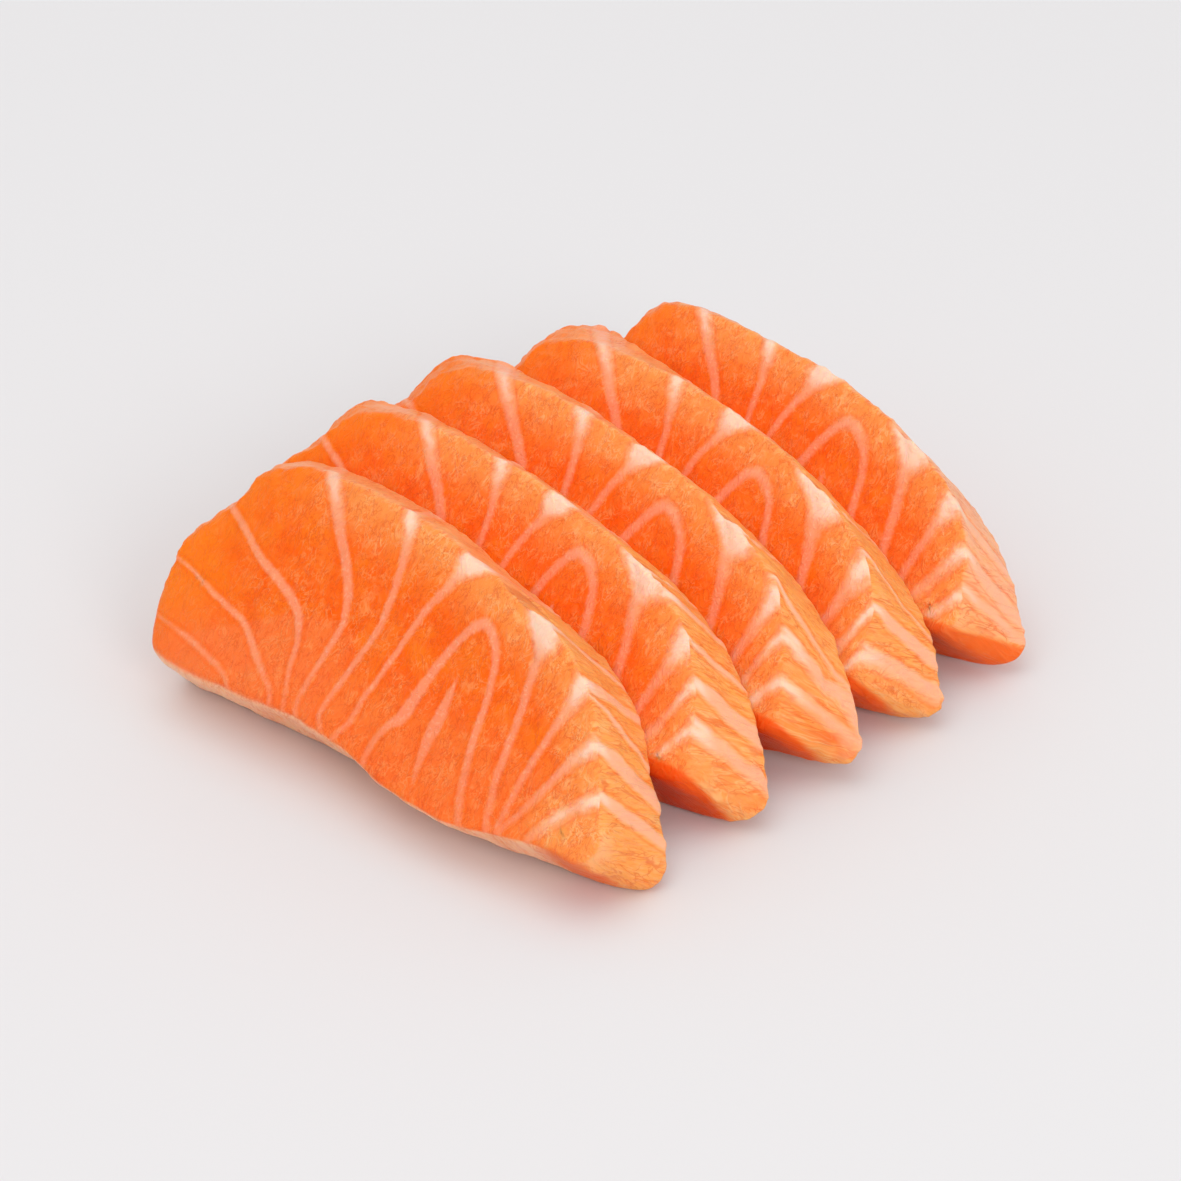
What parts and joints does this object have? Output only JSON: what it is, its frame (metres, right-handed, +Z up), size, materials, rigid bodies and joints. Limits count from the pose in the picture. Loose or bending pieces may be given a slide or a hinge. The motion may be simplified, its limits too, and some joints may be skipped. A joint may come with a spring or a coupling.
{
  "type": "sliced raw salmon",
  "caption": "Thick slices of raw salmon fillet shingled in a row, each leaning back on the next, with rounded blunt ends, tapering noses and pale fat lines.",
  "frame": {"origin": "middle of the row's footprint, on the surface that the slices rest on", "axes": "+Z up, +X along the slices from their blunt ends to their noses, +Y along the row from the front slice to the back one, the way the slices lean"},
  "size_m": [0.0802, 0.0866, 0.027],
  "materials": {
    "salmon_flesh": "moist raw fish: soft, slightly translucent orange flesh with pale pink fat lines and a soft gloss"
  },
  "bodies": {
    "root": {"slice_1": "salmon_flesh", "slice_2": "salmon_flesh", "slice_3": "salmon_flesh", "slice_4": "salmon_flesh", "slice_5": "salmon_flesh"}
  },
  "joints": []
}
